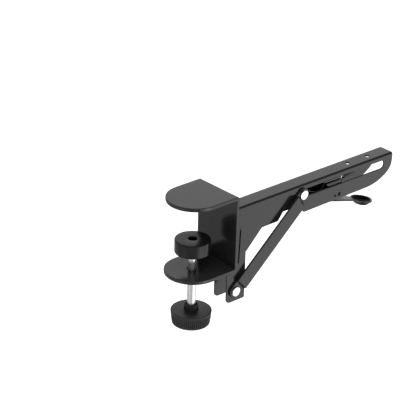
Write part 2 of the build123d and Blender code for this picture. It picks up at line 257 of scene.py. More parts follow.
def triangulate_cap(borders, lines, points):
    """Triangles of a sheet's flat face.

    Returns the points, each one's border point number or None, and the triangles."""
    flat, edges = [], []
    for border in borders:
        start, count = len(flat), len(border)
        flat += [(float(x), float(y)) for x, y in border]
        edges += [(start + i, start + (i + 1) % count) for i in range(count)]
    border_count = len(flat)
    border_points = np.array(flat)

    def keep(point):
        return in_material(borders, np.array([point], float))[0]

    def border_index(point, tol=1e-3):
        distance = np.hypot(border_points[:, 0] - point[0], border_points[:, 1] - point[1])
        i = int(distance.argmin())
        return i if distance[i] < tol else None

    for line in lines:
        previous = None
        for point in line:
            i = border_index(point)
            if i is None:
                if not keep(point):
                    previous = None
                    continue
                i = len(flat)
                flat.append((float(point[0]), float(point[1])))
            if previous is not None and previous != i:
                edges.append((previous, i))
            previous = i
    flat += [(float(point[0]), float(point[1])) for point in points if keep(point)]

    result = delaunay_2d_cdt([Vector(point) for point in flat], edges, [], 0, 1e-6, True)
    placed = np.array([(point.x, point.y) for point in result[0]])
    sources = []
    for origins in result[3]:
        on_border = [i for i in origins if i < border_count]
        sources.append(on_border[0] if on_border else None)
    triangles = np.array([face for face in result[2] if len(face) == 3])
    good = in_material(borders, placed[triangles].mean(1))
    corner_a, corner_b, corner_c = (placed[triangles[:, i]] for i in range(3))
    good &= np.abs(np.cross(corner_b - corner_a, corner_c - corner_a)) > 1e-9
    return placed, sources, triangles[good]


def mapped_normal(fmap, along, across, depth, normal):
    """Turns a normal of the blank into space through the map's numeric derivatives."""
    h = 1e-3
    jacobian = np.stack([
        (np.array(fmap(along + h, across, depth)) - np.array(fmap(along - h, across, depth))),
        (np.array(fmap(along, across + h, depth)) - np.array(fmap(along, across - h, depth))),
        (np.array(fmap(along, across, depth + h)) - np.array(fmap(along, across, depth - h))),
    ], 1) / (2 * h)
    # guards a spot where the map folds flat and has no inverse
    try:
        turned = np.linalg.inv(jacobian).T @ np.array(normal)
    except np.linalg.LinAlgError:
        turned = jacobian @ np.array(normal)
    return turned / max(np.linalg.norm(turned), 1e-12)


def sheet(name, outer, holes, thick, edge, fmap, body, mat, lines=(), points=()):
    """A pressed or bent sheet with rounded edges.

    The flat blank (outline, holes and thickness) is placed by fmap(along, across, depth), in mm.
    lines are polylines kept as mesh edges and points are extra ones, for bends and dishes."""
    rings = rim_rings(thick, edge)
    blank, blank_normals, faces = [], [], []
    borders, bottom_ids, top_ids = [], [], []
    for k, loop in enumerate([outer, *holes]):
        loop = clean(loop)
        if (area(loop) > 0) != (k == 0):
            loop = loop[::-1]
        flat = np.array(loop, float)
        inward = inset_dirs(loop)
        direction = inward / np.linalg.norm(inward, axis=1)[:, None]
        count, base = len(loop), len(blank)
        for inset, depth, normal_depth, normal_out in rings:
            for point, way in zip(flat + inward * inset, direction):
                blank.append((point[0], point[1], depth))
                blank_normals.append((-way[0] * normal_out, -way[1] * normal_out, normal_depth))
        for ring in range(len(rings) - 1):
            low, high = base + ring * count, base + (ring + 1) * count
            for i in range(count):
                j = (i + 1) % count
                faces.append((low + i, low + j, high + j, high + i))
        borders.append(flat + inward * edge)
        last = base + (len(rings) - 1) * count
        bottom_ids += range(base, base + count)
        top_ids += range(last, last + count)

    placed, sources, triangles = triangulate_cap(borders, lines, points)
    cap_bottom, cap_top = [], []
    for (x, y), source in zip(placed, sources):
        if source is not None:
            cap_bottom.append(bottom_ids[source])
            cap_top.append(top_ids[source])
            continue
        for depth, normal_depth, ids in ((0.0, -1.0, cap_bottom), (thick, 1.0, cap_top)):
            ids.append(len(blank))
            blank.append((float(x), float(y), depth))
            blank_normals.append((0.0, 0.0, normal_depth))
    for triangle in triangles:
        a, b, c = (int(i) for i in triangle)
        if np.cross(placed[b] - placed[a], placed[c] - placed[a]) < 0:
            a, b = b, a
        faces.append((cap_top[a], cap_top[b], cap_top[c]))
        faces.append((cap_bottom[b], cap_bottom[a], cap_bottom[c]))

    verts = [np.array(fmap(*place)) * MM for place in blank]
    normals = [mapped_normal(fmap, *place, normal)
               for place, normal in zip(blank, blank_normals)]
    # keep the faces pointing outwards whichever way the map turns space
    a, b, c = next(face for face in faces if len(face) == 3)
    if np.cross(verts[b] - verts[a], verts[c] - verts[a]) @ normals[a] < 0:
        faces = [tuple(reversed(face)) for face in faces]
    return make_object(name, verts, faces, body, mat, normals=normals)


def signed_volume(verts, faces):
    """Positive (six times the volume) when the faces of a closed mesh point outwards."""
    places = np.array(verts)
    total = 0.0
    for face in faces:
        for i in range(1, len(face) - 1):
            total += places[face[0]] @ np.cross(places[face[i]], places[face[i + 1]])
    return total


def lathe(name, profile, origin, body, mat, axis="z", segments=64, radial=None, sharp=38.0):
    """Turned solid from (radius, height, corner radius) points of the closed half section.

    Height runs along the axis, "z" or "-y". radial(angle, radius, height) gives an added radius."""
    verts, faces, rows = [], [], []
    for radius, height in clean(rounded(profile, 15.0)):
        if radius < 1e-6:
            rows.append([len(verts)])
            verts.append((0.0, 0.0, height))
            continue
        rows.append(list(range(len(verts), len(verts) + segments)))
        for i in range(segments):
            angle = 2 * math.pi * i / segments
            full = radius + (radial(angle, radius, height) if radial else 0.0)
            verts.append((full * math.cos(angle), full * math.sin(angle), height))
    for k, row in enumerate(rows):
        following = rows[(k + 1) % len(rows)]
        if len(row) == 1 and len(following) == 1:
            continue
        for i in range(segments):
            j = (i + 1) % segments
            if len(row) == 1:
                faces.append((row[0], following[i], following[j]))
            elif len(following) == 1:
                faces.append((row[i], following[0], row[j]))
            else:
                faces.append((row[i], following[i], following[j], row[j]))
    if axis == "-y":
        verts = [(x, -z, y) for x, y, z in verts]
    verts = [tuple((start + value) * MM for start, value in zip(origin, vert)) for vert in verts]
    if signed_volume(verts, faces) < 0:
        faces = [tuple(reversed(face)) for face in faces]
    return make_object(name, verts, faces, body, mat, sharp=sharp)


def wire(name, path, radius, body, mat, sides=10):
    """Round wire along a path of points."""
    path = [Vector(point) for point in path]
    verts, faces = [], []
    across = None
    for i, point in enumerate(path):
        tangent = (path[min(i + 1, len(path) - 1)] - path[max(i - 1, 0)]).normalized()
        if across is None:
            across = tangent.orthogonal().normalized()
        across = (across - tangent * across.dot(tangent)).normalized()
        side = tangent.cross(across)
        for k in range(sides):
            angle = 2 * math.pi * k / sides
            offset = (across * math.cos(angle) + side * math.sin(angle)) * radius
            verts.append(tuple((point + offset) * MM))
    for i in range(len(path) - 1):
        low, high = i * sides, (i + 1) * sides
        for k in range(sides):
            j = (k + 1) % sides
            faces.append((low + k, low + j, high + j, high + k))
    faces.append(tuple(range(sides))[::-1])
    faces.append(tuple((len(path) - 1) * sides + k for k in range(sides)))
    return make_object(name, verts, faces, body, mat, sharp=60)


# ============================================================ materials
class Shader:
    """A material on its Principled shader, with textures in object coordinates."""

    def __init__(self, name):
        self.material = bpy.data.materials.new(name)
        self.material.use_nodes = True
        self.tree = self.material.node_tree
        self.surface = self.tree.nodes["Principled BSDF"].inputs
        self.coords = self.tree.nodes.new("ShaderNodeTexCoord").outputs["Object"]

    def link(self, source, target):
        self.tree.links.new(source, target)

    def noise(self, scale, detail, rough=0.5, stretch=None):
        node = self.tree.nodes.new("ShaderNodeTexNoise")
        node.inputs["Scale"].default_value = scale
        node.inputs["Detail"].default_value = detail
        node.inputs["Roughness"].default_value = rough
        coords = self.coords
        if stretch:
            mapping = self.tree.nodes.new("ShaderNodeMapping")
            mapping.inputs["Scale"].default_value = stretch
            self.link(coords, mapping.inputs["Vector"])
            coords = mapping.outputs["Vector"]
        self.link(coords, node.inputs["Vector"])
        return node.outputs["Fac"]

    def spread(self, noise, low, high):
        """Stretches the noise's usual range, 0.3 to 0.7, to low..high."""
        node = self.tree.nodes.new("ShaderNodeMapRange")
        node.inputs["From Min"].default_value = 0.3
        node.inputs["From Max"].default_value = 0.7
        node.inputs["To Min"].default_value = low
        node.inputs["To Max"].default_value = high
        self.link(noise, node.inputs["Value"])
        return node.outputs["Result"]

    def colour(self, noise, dark, light):
        """Base colour clouded between two RGB colours."""
        node = self.tree.nodes.new("ShaderNodeMix")
        node.data_type = "RGBA"
        node.inputs[6].default_value = (*dark, 1)
        node.inputs[7].default_value = (*light, 1)
        self.link(noise, node.inputs[0])
        self.link(node.outputs[2], self.surface["Base Color"])

    def bump(self, height, strength, distance, edge=None):
        """Surface relief, over edges softened to the radius edge (metres) if one is given."""
        if edge:
            bevel = self.tree.nodes.new("ShaderNodeBevel")
            bevel.samples = 6
            bevel.inputs["Radius"].default_value = edge
        node = self.tree.nodes.new("ShaderNodeBump")
        node.inputs["Strength"].default_value = strength
        node.inputs["Distance"].default_value = distance
        self.link(height, node.inputs["Height"])
        if edge:
            self.link(bevel.outputs["Normal"], node.inputs["Normal"])
        self.link(node.outputs["Normal"], self.surface["Normal"])


def powder_coat(name, base=0.012, rough=0.16, edge=None):
    """Gloss black powder coat: fine orange peel, faint unevenness in the gloss."""
    shader = Shader(name)
    shader.surface["IOR"].default_value = 1.5
    cloud = shader.noise(scale=38.0, detail=3.0)
    shader.colour(cloud, dark=(base * 0.93,) * 3, light=(base * 1.06, base * 1.06, base * 1.08))
    peel = shader.noise(scale=900.0, detail=2.0)
    total = shader.tree.nodes.new("ShaderNodeMath")
    total.operation = "ADD"
    shader.link(shader.spread(cloud, low=-0.015, high=0.02), total.inputs[0])
    shader.link(shader.spread(peel, low=rough - 0.01, high=rough + 0.015), total.inputs[1])
    shader.link(total.outputs[0], shader.surface["Roughness"])
    shader.bump(peel, strength=0.05, distance=0.00006, edge=edge)
    return shader.material


def plastic(name, base, rough, grain):
    """Black moulded plastic with a fine spark-eroded grain."""
    shader = Shader(name)
    shader.surface["IOR"].default_value = 1.36
    cloud = shader.noise(scale=60.0, detail=2.0)
    shader.colour(cloud, dark=(base * 0.9,) * 3, light=(base * 1.1,) * 3)
    fine = shader.noise(scale=1600.0, detail=2.0)
    roughness = shader.spread(fine, low=rough - 0.04, high=rough + 0.05)
    shader.link(roughness, shader.surface["Roughness"])
    shader.bump(fine, strength=grain, distance=0.00005)
    return shader.material


def metal(name, base, rough, streak=(1, 1, 1), edge=None, tint=(1.0, 1.0, 1.0), dull=0.0):
    """Plated or bare metal; streak scales the fine marks per axis, dull is the matt share."""
    shader = Shader(name)
    shader.surface["Metallic"].default_value = 1.0 - dull
    cloud = shader.noise(scale=70.0, detail=3.0)
    tinted = tuple(base * channel for channel in tint)
    shader.colour(cloud, dark=tuple(0.94 * channel for channel in tinted),
                  light=tuple(min(1.0, 1.03 * channel) for channel in tinted))
    fine = shader.noise(scale=700.0, detail=3.0, rough=0.6, stretch=streak)
    roughness = shader.spread(fine, low=rough * 0.8, high=rough * 1.25)
    shader.link(roughness, shader.surface["Roughness"])
    shader.bump(fine, strength=0.04, distance=0.00003, edge=edge)
    return shader.material


def floor_paper():
    """White paper that glows a little, without acting as a light."""
    shader = Shader("floor_paper")
    shader.surface["Roughness"].default_value = 0.9
    shader.surface["Specular IOR Level"].default_value = 0.1
    cloud = shader.noise(scale=1.5, detail=2.0)
    shader.colour(cloud, dark=(0.90, 0.90, 0.90), light=(0.92, 0.92, 0.92))
    shader.surface["Emission Color"].default_value = (1.0, 1.0, 1.0, 1.0)
    shader.surface["Emission Strength"].default_value = 0.24
    shader.material.cycles.emission_sampling = "NONE"
    return shader.material


PAINT = powder_coat("powder_coat_black")
# spare coat with softened edges, for small pieces without rounded edges of their own
powder_coat("powder_coat_black_small", edge=0.0003)
LEVER_PAINT = powder_coat("powder_coat_lever", rough=0.19)
KNOB_PLASTIC = plastic("knob_black_plastic", base=0.021, rough=0.34, grain=0.12)
PAD_PLASTIC = plastic("pad_black_plastic", base=0.008, rough=0.22, grain=0.06)
SCREW_STEEL = metal("bright_screw_steel", base=0.84, rough=0.12, streak=(1, 1, 0.08), dull=0.25)
RIVET_STEEL = metal("bright_rivet_steel", base=0.96, rough=0.12)
ZINC = metal("zinc_plate", base=0.62, rough=0.28, tint=(0.98, 1.0, 1.02), edge=0.0002)
# black steel; on the pad retainer its near-black colour is painted shade standing in for the dark
# of the pad's bore
BLACK_STEEL_AND_BORE_SHADE = metal("black_steel_and_painted_bore_shade", base=0.10, rough=0.34, edge=0.0002)
# painted shade: the pins are coloured near black so their recessed ends read as the shade in their
# holes
PIN_RECESS_SHADE = metal("pin_steel_painted_recess_shade", base=0.03, rough=0.5, edge=0.0002)
SPRING_STEEL = metal("spring_wire_steel", base=0.90, rough=0.2, dull=0.3)
BRASS = metal("brass_insert", base=0.62, rough=0.25, tint=(1.0, 0.78, 0.42), edge=0.0002)

# ============================================================ clamp frame
PLATE_T, JAW_WIDTH = 3.0, 52.0
JAW_T = 3.7
UPPER_JAW_Z, LOWER_JAW_Z = -0.5, -68.8       # faces of the jaws towards the gap
UPPER_JAW_LEN, LOWER_JAW_LEN = 54.0, 54.6
SPINE_H = 68.0
BEND_IN, BEND_OUT = 0.5, 2.1                 # bend radii, inner and outer face
BEND_LEN = 3.2                               # blank length given to each bend
EVEN_LEN = 4.0                               # length over which the layers even out by a bend
# stations along the blank: upper bend, spine, lower bend
UPPER_START = 0.0
UPPER_END = BEND_LEN
LOWER_START = UPPER_END + SPINE_H
LOWER_END = LOWER_START + BEND_LEN


def bent_plate(along, across, depth):
    """The plate bent to a C of even thickness; depth runs from the inner face outwards."""
    radius = BEND_IN + (BEND_OUT - BEND_IN) * depth / PLATE_T
    offset = depth - radius
    if along <= UPPER_START:
        near = max(0.0, 1 + (along - UPPER_START) / EVEN_LEN)
        return (along + offset * near, across, depth)
    if along <= UPPER_END:
        angle = (along - UPPER_START) / BEND_LEN * math.pi / 2
        return (offset + radius * math.sin(angle), across, offset + radius * math.cos(angle))
    if along <= LOWER_START:
        z = -(along - UPPER_END) / SPINE_H * SPINE_H
        near_upper = max(0.0, 1 - (along - UPPER_END) / EVEN_LEN)
        near_lower = max(0.0, 1 - (LOWER_START - along) / EVEN_LEN)
        return (depth, across, z + near_upper * offset - near_lower * offset)
    if along <= LOWER_END:
        angle = (along - LOWER_START) / BEND_LEN * math.pi / 2
        return (offset + radius * math.cos(angle), across,
                -SPINE_H - offset - radius * math.sin(angle))
    near = max(0.0, 1 - (along - LOWER_END) / EVEN_LEN)
    return (-(along - LOWER_END) + offset * near, across, -SPINE_H - depth)


def clamp_map(along, across, depth):
    """The bent plate with its jaws drawn to their own thickness and height."""
    x, y, z = bent_plate(along, across, depth)
    if z >= 0:
        return (x, y, UPPER_JAW_Z + z * JAW_T / PLATE_T)
    if z <= -SPINE_H:
        return (x, y, LOWER_JAW_Z + (z + SPINE_H) * JAW_T / PLATE_T)
    return (x, y, UPPER_JAW_Z + z * (UPPER_JAW_Z - LOWER_JAW_Z) / SPINE_H)


def clamp_frame():
    """C of plate with round-ended jaws and the screw's hole in the lower one."""
    half, edge = JAW_WIDTH / 2, 0.55
    outline = obround(-(UPPER_JAW_LEN - half), LOWER_END + (LOWER_JAW_LEN - half), 0.0, half, 44)
    stations = ([UPPER_START - EVEN_LEN] + spaced(UPPER_START, BEND_LEN, 8)
                + [UPPER_END + EVEN_LEN, LOWER_START - EVEN_LEN]
                + spaced(LOWER_START, BEND_LEN, 8) + [LOWER_END + EVEN_LEN])
    outline = cut_at(clean(outline), stations, 0)
    lines = [[(station, across) for across in spaced(-half + edge, JAW_WIDTH - 2 * edge, 10)]
             for station in stations]
    hole = circle(LOWER_END - SCREW_X, 0.0, 4.6, 40)
    return sheet("clamp_frame_body", outline, [hole], PLATE_T, edge, clamp_map, "clamp", PAINT,
                 lines=lines)


# ============================================================ channels
CHANNEL_BEND = 2.2                           # blank length given to each bend of a channel


def channel_section(across, depth, flat, outer_radius, half_width):
    """(y, distance below the web's outer face) on a U section; flat is the web's flat half width.

    depth runs from the outer face inwards; positive across is the near wall."""
    side = 1.0 if across >= 0 else -1.0
    reach = abs(across)
    if reach <= flat:
        return (-across, depth)
    if reach <= flat + CHANNEL_BEND:
        angle = (reach - flat) / CHANNEL_BEND * math.pi / 2
        radius = outer_radius - depth
        return (-side * (flat + radius * math.sin(angle)),
                outer_radius - radius * math.cos(angle))
    return (-side * (half_width - depth), outer_radius + (reach - flat - CHANNEL_BEND))


def bend_stations(flat):
    bends = spaced(flat, CHANNEL_BEND, 6)
    return [-bend for bend in bends[::-1]] + bends


# ============================================================ arm
ARM_X0, ARM_X1 = 5.0, 221.0
ARM_HALF, ARM_T = 8.8, 1.5
ARM_TOP, ARM_BOTTOM_NEAR, ARM_BOTTOM_FAR = -19.3, -47.5, -44.2
ARM_RADIUS = 2.2
ARM_FLAT = ARM_HALF - ARM_RADIUS
HINGE_EAR = 6.5                              # radius of the wall's lobe round the hinge
SLOT_END_X = 205.6

# (x, z) down the +X end of each wall, from the bend to the lower edge
NEAR_TIP = [(ARM_X1, -26.0), (218.4, -34.9), (211.3, -40.9), (200.0, -45.6),
            (186.0, ARM_BOTTOM_NEAR)]
FAR_TIP = [(ARM_X1, -21.8), (217.6, -25.0), (209.6, -35.9), (205.6, -39.1), (198.3, -43.1),
           (188.0, ARM_BOTTOM_FAR)]


def arm_map(along, across, depth):
    y, drop = channel_section(across, depth, ARM_FLAT, ARM_RADIUS, ARM_HALF)
    return (along, y, ARM_TOP - drop)


def on_arm_wall(points, side):
    """Blank places of (x, z) points on the near (1) or far (-1) wall."""
    return [(x, side * (ARM_FLAT + CHANNEL_BEND + (ARM_TOP - ARM_RADIUS - z))) for x, z in points]


def arm_wall(tip, bottom):
    """Free edge of a wall: down the tip, back along the bottom and up round the hinge."""
    hinge_x, hinge_z = HINGE
    # (x, z, corner radius), towards the hinge
    lower_edge = [
        (tip[-1][0], bottom), (102.4, bottom - 1.1, 1.0), (100.0, -39.8, 1.4),
        (75.2, -39.9, 1.4), (69.1, -47.8, 1.4), (48.9, -48.1, 1.6),
        (30.2, hinge_z - HINGE_EAR, 2.0), (hinge_x, hinge_z - HINGE_EAR)]
    return ([(ARM_X1, ARM_TOP - ARM_RADIUS)]
            + smooth_curve(tip, (0, -1), (-1, 0))
            + rounded(lower_edge)[1:]
            + arc(hinge_x, hinge_z, HINGE_EAR, -math.pi / 2, -math.pi / 2, 10)[1:]
            + [(ARM_X0, ARM_TOP - ARM_RADIUS)])


def arm_channel():
    """Channel open downwards, with a long slot in each wall."""
    outline = (on_arm_wall(arm_wall(NEAR_TIP, ARM_BOTTOM_NEAR), 1)
               + on_arm_wall(arm_wall(FAR_TIP, ARM_BOTTOM_FAR)[::-1], -1))
    stations = bend_stations(ARM_FLAT)
    outline = cut_at(clean(outline), stations, 1)
    slot_x, slot_z = UPPER_RIVET
    holes = []
    for side, slot_radius in ((1, 4.1), (-1, 4.5)):
        holes.append(on_arm_wall(obround(slot_x, SLOT_END_X, slot_z, slot_radius, 18), side))
        holes.append(on_arm_wall(circle(*HINGE, 4.05, 36), side))
        holes.append(on_arm_wall(circle(*LEVER_PIN, 2.0, 28), side))
    holes.append(on_arm_wall(circle(143.8, -43.6, 1.2, 20), 1))
    holes += [circle(x, 0.0, 2.3, 32) for x in (167.7, 194.7)]
    edge = 0.28
    start = ARM_X0 + edge
    lines = [[(x, station) for x in spaced(start, ARM_X1 - edge - start, 36)]
             for station in stations]
    return sheet("arm_channel_body", outline, holes, ARM_T, edge, arm_map, "arm", PAINT,
                 lines=lines)


# ============================================================ leg
LEG_INNER_HALF, LEG_T = 8.95, 1.4
LEG_HALF = LEG_INNER_HALF + LEG_T
LEG_RADIUS = 2.0
LEG_FLAT = LEG_HALF - LEG_RADIUS
LEG_TOP, LEG_WEB_BOTTOM = -36.0, -73.8


def leg_map(across, z, depth):
    y, drop = channel_section(across, depth, LEG_FLAT, LEG_RADIUS, LEG_HALF)
    return (PLATE_T + drop, y, z)


def leg_across(x):
    """Blank place of the height x above the spine's inner face, on a wall."""
    return LEG_FLAT + CHANNEL_BEND + (x - PLATE_T - LEG_RADIUS)


def leg_side(foot_x, bottom):
    """One wall's outline, from the top of the bend round the foot and back to the bend."""
    bend_end = LEG_FLAT + CHANNEL_BEND
    points = rounded([
        (bend_end, LEG_TOP), (leg_across(17.0), LEG_TOP, 3.5), (leg_across(27.9), -49.0, 2.0),
        (leg_across(27.9), bottom, 1.6), (leg_across(foot_x), bottom, 4.6),
        (leg_across(foot_x), -74.0, 1.0), (bend_end, LEG_WEB_BOTTOM, 0.3),
        (LEG_FLAT, -71.0), (LEG_FLAT, LEG_TOP)])
    # the last two points only steer the last corner
    return [point for point in points if point[0] > LEG_FLAT + 1e-6]


def leg_channel():
    """Channel on the back of the spine, open towards +X, its walls running on below the web."""
    outline = (leg_side(5.2, -113.2)
               + [(-across, z) for across, z in leg_side(8.2, -114.8)[::-1]])
    stations = bend_stations(LEG_FLAT)
    outline = cut_at(clean(outline), stations, 0)
    hinge_hole = circle(leg_across(HINGE[0]), HINGE[1], 4.0, 36)
    groove = rounded([(leg_across(19.4), -41.0, 0.75), (leg_across(21.1), -41.0, 0.75),
                      (leg_across(19.7), -75.0, 0.75), (leg_across(18.0), -75.0, 0.75)])
    rivet_hole = circle(leg_across(LOWER_RIVET[0]), LOWER_RIVET[1], 3.0, 32)
    far_hinge_hole = [(-across, z) for across, z in hinge_hole]
    lines = [[(station, z) for z in spaced(-72.9, 72.9 - 36.3, 12)] for station in stations]
    return sheet("leg_channel_body", outline, [hinge_hole, far_hinge_hole, groove, rivet_hole],
                 LEG_T, 0.3, leg_map, "clamp", PAINT, lines=lines)


def leg_groove():
    """Floor of the narrow groove, inside the near wall's thickness."""
    outline = rounded([(16.6, -76.4, 1.2), (18.6, -39.6, 1.2), (22.5, -39.6, 1.2),
                       (21.1, -76.4, 1.2)])

    def place(x, z, depth):
        return (x, -LEG_INNER_HALF - 0.395 + depth, z)
    return sheet("leg_channel_groove", outline, [], 0.38, 0.05, place, "clamp", PAINT)


# ============================================================ strut
STRUT_DX, STRUT_DZ = UPPER_RIVET[0] - LOWER_RIVET[0], UPPER_RIVET[1] - LOWER_RIVET[1]
STRUT_LEN = math.hypot(STRUT_DX, STRUT_DZ)
STRUT_ANGLE = math.atan2(STRUT_DZ, STRUT_DX)
# y of the near face at the lower end, along the body and at the upper end
LOWER_Y, BODY_Y, UPPER_Y = -12.4, -14.2, -10.85
# the two cranks: where each starts along the strut, and its length
LOWER_CRANK, LOWER_CRANK_LEN = 6.6, 2.6
UPPER_CRANK, UPPER_CRANK_LEN = STRUT_LEN - 8.9, 4.4


def strut_map(along, across, depth):
    x = LOWER_RIVET[0] + along * math.cos(STRUT_ANGLE) - across * math.sin(STRUT_ANGLE)
    z = LOWER_RIVET[1] + along * math.sin(STRUT_ANGLE) + across * math.cos(STRUT_ANGLE)
    y = (LOWER_Y + (BODY_Y - LOWER_Y) * ease((along - LOWER_CRANK) / LOWER_CRANK_LEN)
         + (UPPER_Y - BODY_Y) * ease((along - UPPER_CRANK) / UPPER_CRANK_LEN))
    return (x, y + depth, z)


def strut():
    """Flat bar between the two rivets, cranked at both ends."""
    half, lower_end, upper_end = 7.5, 6.6, 6.2
    outline = arc(0.0, 0.0, lower_end, math.pi / 2, math.pi, 16)
    outline += [(8.0, -lower_end, 0.8), (8.6, -half, 0.5),
                (STRUT_LEN - 8.2, -half, 0.9), (STRUT_LEN - 7.2, -upper_end, 0.8)]
    outline += arc(STRUT_LEN, 0.0, upper_end, -math.pi / 2, math.pi, 16)
    outline += [(STRUT_LEN - 7.2, upper_end, 0.8), (STRUT_LEN - 8.2, half, 0.9),
                (8.6, half, 0.5), (8.0, lower_end, 0.8)]
    stations = (spaced(LOWER_CRANK, LOWER_CRANK_LEN, 6)
                + spaced(UPPER_CRANK, UPPER_CRANK_LEN, 8))
    outline = cut_at(clean(rounded(outline, 18.0)), stations, 0)
    lines = [[(station, across) for across in spaced(-7.3, 14.6, 10)] for station in stations]
    holes = [circle(0, 0, 3.05, 32), circle(STRUT_LEN, 0, 3.0, 32)]
    return sheet("strut_body", outline, holes, 2.0, 0.3, strut_map, "strut", PAINT, lines=lines)


# ============================================================ release lever
# (x, z) ends of the strip's lower face
STRIP_X0, STRIP_Z0, STRIP_X1, STRIP_Z1 = 118.0, -43.1, 173.0, -58.85
STRIP_SLOPE = math.atan2(STRIP_Z0 - STRIP_Z1, STRIP_X1 - STRIP_X0)
STRIP_HALF = 6.7
STRIP_END_X = 172.0                          # where the strip's sides meet the finger pad
DISH_X, DISH_Z, DISH_TILT = 190.0, -64.1, math.radians(10.0)
DISH_R, DISH_DEPTH = 11.0, 3.6
JOIN_LAP = 0.6                               # how far into the strip the upright plates stop


def strip_z(x):
    return STRIP_Z0 + (STRIP_Z1 - STRIP_Z0) * (x - STRIP_X0) / (STRIP_X1 - STRIP_X0)


def lever_map(x, across, depth):
    """Sloping strip that runs over into the finger pad, a drawn bowl with a turned-out rim."""
    strip = strip_z(x)
    pad = DISH_Z - (x - DISH_X) * math.tan(DISH_TILT) - 0.7
    z = strip + (pad - strip) * ease((x - 171.0) / 11.5)
    radius = math.hypot(x - DISH_X, across)
    bowl = 0.0
    if radius < DISH_R:
        bowl = -DISH_DEPTH * ease((DISH_R - 0.7 - radius) / 4.4)
    return (x + depth * math.sin(STRIP_SLOPE), across, z + bowl + depth * math.cos(STRIP_SLOPE))


def lever_outline():
    """Strip with a round finger pad, drawn out to a slight point at the tip."""
    half_sweep = math.radians(138)
    points = [(STRIP_X0, -STRIP_HALF, 2.0), (STRIP_END_X, -STRIP_HALF, 6.0)]
    for angle in spaced(-half_sweep, 2 * half_sweep, 40):
        radius = DISH_R * (1 + 0.055 * max(0.0, math.cos(angle)) ** 8) - 0.12
        points.append((DISH_X + radius * math.cos(angle) - 0.35, radius * math.sin(angle)))
    points += [(STRIP_END_X, STRIP_HALF, 6.0), (STRIP_X0, STRIP_HALF, 2.0)]
    return clean(rounded(points, 12.0))


def lever_grid():
    """Mesh points in rings over the bowl and in rows over the strip's run into it."""
    grid = []
    for k in range(1, 17):
        radius = k * 0.66
        count = max(6, int(2 * math.pi * radius / 0.9))
        for i in range(count):
            angle = 2 * math.pi * (i + 0.5 * (k % 2)) / count
            grid.append((DISH_X + radius * math.cos(angle), radius * math.sin(angle)))
    grid.append((DISH_X, 0.0))
    grid += [(169.0 + k * 1.0, j * 1.1) for k in range(13) for j in range(-6, 7)]
    return [point for point in grid
            if math.hypot(point[0] - DISH_X, point[1]) < 10.8 or point[0] < DISH_X - 10.5]


def lever_upright(name, outline, holes, thick, edge, near_y):
    """Plate standing along the lever, its near face at near_y."""
    def place(x, z, depth):
        return (x, near_y + depth, z)
    return sheet(name, rounded(outline), holes, thick, edge, place, None, LEVER_PAINT)


def lever_blade():
    """Upright plate in the middle of the arm."""
    outline = [
        (104.1, -31.4, 0.8), (109.5, -31.4, 2.0), (132.5, -39.2, 2.0), (137.5, -31.8, 2.0),
        (166.0, -31.7, 0.7), (158.5, -36.5, 5.0), (153.5, -46.0, 4.0),
        (152.0, strip_z(152.0) + JOIN_LAP), (120.0, strip_z(120.0) + JOIN_LAP),
        (112.0, -41.5, 3.0), (104.1, -37.6, 1.2)]
    return lever_upright("release_lever_blade", outline, [circle(*LEVER_PIN, 2.05, 28)],
                         thick=2.5, edge=0.25, near_y=-1.25)


def lever_cheek():
    """Plate just inside the arm's near wall, with both pins' holes and a notch in its top."""
    outline = [
        (132.5, -29.3, 0.6), (152.2, -29.3, 0.2), (152.4, -30.9, 0.3), (153.9, -30.9, 0.3),
        (154.0, -29.3, 0.2), (156.6, -29.3, 0.5), (152.4, -34.1, 1.5), (154.0, -40.0, 3.0),
        (153.4, -46.6, 2.0), (131.5, -46.6, 1.0), (127.0, strip_z(127.0) + JOIN_LAP),
        (120.5, strip_z(120.5) + JOIN_LAP), (122.0, -40.5, 2.0), (138.5, -35.2, 2.0)]
    holes = [circle(*LEVER_PIN, 2.05, 28), circle(143.8, -43.1, 1.9, 24)]
    return lever_upright("release_lever_cheek", outline, holes, thick=1.0, edge=0.15, near_y=-7.2)


def release_lever():
    """Strip and finger pad, with the blade and the cheek joined on."""
    plate = sheet("release_lever_body", lever_outline(), [], 1.6, 0.35, lever_map, "lever",
                  LEVER_PAINT, points=lever_grid())
    for part in (lever_blade(), lever_cheek()):
        join = plate.modifiers.new("join", "BOOLEAN")
        join.operation = "UNION"
        join.solver = "EXACT"
        join.object = part
        bpy.context.view_layer.update()
        depsgraph = bpy.context.evaluated_depsgraph_get()
        mesh = bpy.data.meshes.new_from_object(plate.evaluated_get(depsgraph))
        plate.modifiers.clear()
        plate.data = mesh
        mesh.name = "release_lever_body"
        bpy.data.objects.remove(part)
    return plate


# ============================================================ turned parts
# profiles are (radius, z, corner radius) round the screw's axis
SCREW_AXIS = (SCREW_X, 0, 0)
PAD_TOP, PAD_BOTTOM, PAD_R = -38.6, -51.8, 16.6
KNOB_TOP, KNOB_BOTTOM = -110.6, -124.4
KNOB_TOP_R, KNOB_BOTTOM_R = 19.1, 17.6
KNOB_RIBS = 61


def pressure_pad():
    profile = [
        (4.06, PAD_BOTTOM, 0.4), (PAD_R, PAD_BOTTOM, 1.2), (PAD_R, PAD_TOP, 0.9),
        (4.3, PAD_TOP, 0.35), (4.3, PAD_TOP - 4.9), (2.56, PAD_TOP - 4.9),
        (2.56, PAD_TOP - 9.4), (4.06, PAD_TOP - 9.4)]
    return lathe("pressure_pad_body", profile, SCREW_AXIS, "pad", PAD_PLASTIC, segments=128)


def clamp_screw():
    profile = [(0, -120.0), (3.2, -120.0), (4.0, -119.2), (4.0, -48.0, 0.15), (2.5, -48.0),
               (2.5, -41.2, 0.4), (0, -41.2)]
    return lathe("clamp_screw_body", profile, SCREW_AXIS, "screw", SCREW_STEEL, segments=96)


